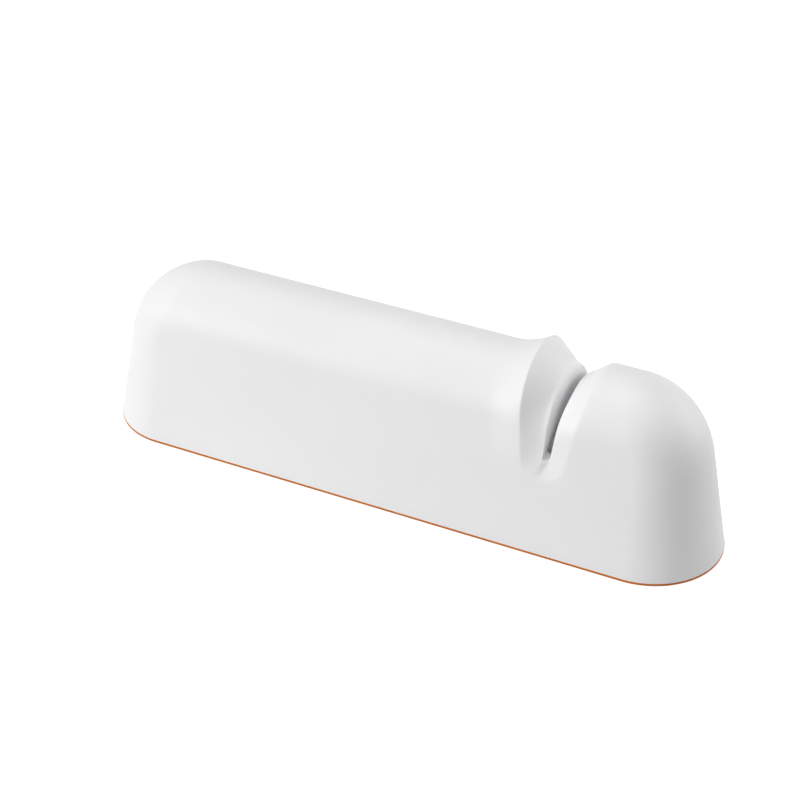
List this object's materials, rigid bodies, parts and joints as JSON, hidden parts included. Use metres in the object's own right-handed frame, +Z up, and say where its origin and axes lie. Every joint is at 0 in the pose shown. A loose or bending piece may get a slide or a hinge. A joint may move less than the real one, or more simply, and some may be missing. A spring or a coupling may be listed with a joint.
{
  "type": "knife sharpener",
  "caption": "Roll-type knife sharpener: loaf-shaped housing with a finger guard and a blade slot over a pair of free-turning ceramic wheels.",
  "frame": {"origin": "middle of the underside, on the surface that the sharpener stands on", "axes": "+X along the body towards the end with the blade slot, +Z up, the blade is drawn along Y"},
  "size_m": [0.19, 0.043, 0.0544],
  "materials": {
    "white_shell": "satin moulded",
    "base_plastic": "moulded",
    "sole_rubber": "soft matt",
    "screw_steel": "zinc plated",
    "bearing_plastic": "moulded",
    "axle_steel": "ground",
    "washer_brass": "stamped",
    "bush_plastic": "turned",
    "hub_plastic": "moulded",
    "ceramic": "fine-grained sintered",
    "pad_rubber": "matt"
  },
  "bodies": {
    "body": {"housing": "white_shell", "base_plate": "base_plastic", "grip_sole": "sole_rubber", "housing_screws": "screw_steel", "wheel_cradle": "bearing_plastic", "cradle_screws": "screw_steel", "left_bearing_cap": "bearing_plastic", "right_bearing_cap": "bearing_plastic", "cap_screws": "screw_steel", "axle": "axle_steel", "left_thrust_washer": "washer_brass", "right_thrust_washer": "washer_brass"},
    "wheels": {"left_bush": "bush_plastic", "right_bush": "bush_plastic", "wheel_hub": "hub_plastic", "left_wheel": "ceramic", "right_wheel": "ceramic", "spacer_ring": "hub_plastic", "left_pad_ring": "pad_rubber", "right_pad_ring": "pad_rubber", "clamp_nut": "hub_plastic"}
  },
  "joints": [
    {"name": "wheel_spin", "type": "hinge", "parent": "body", "child": "wheels", "pos_m": [0.04825, 0, 0.02341], "axis": [0.9511, 0.309, 0], "continuous": true}
  ]
}
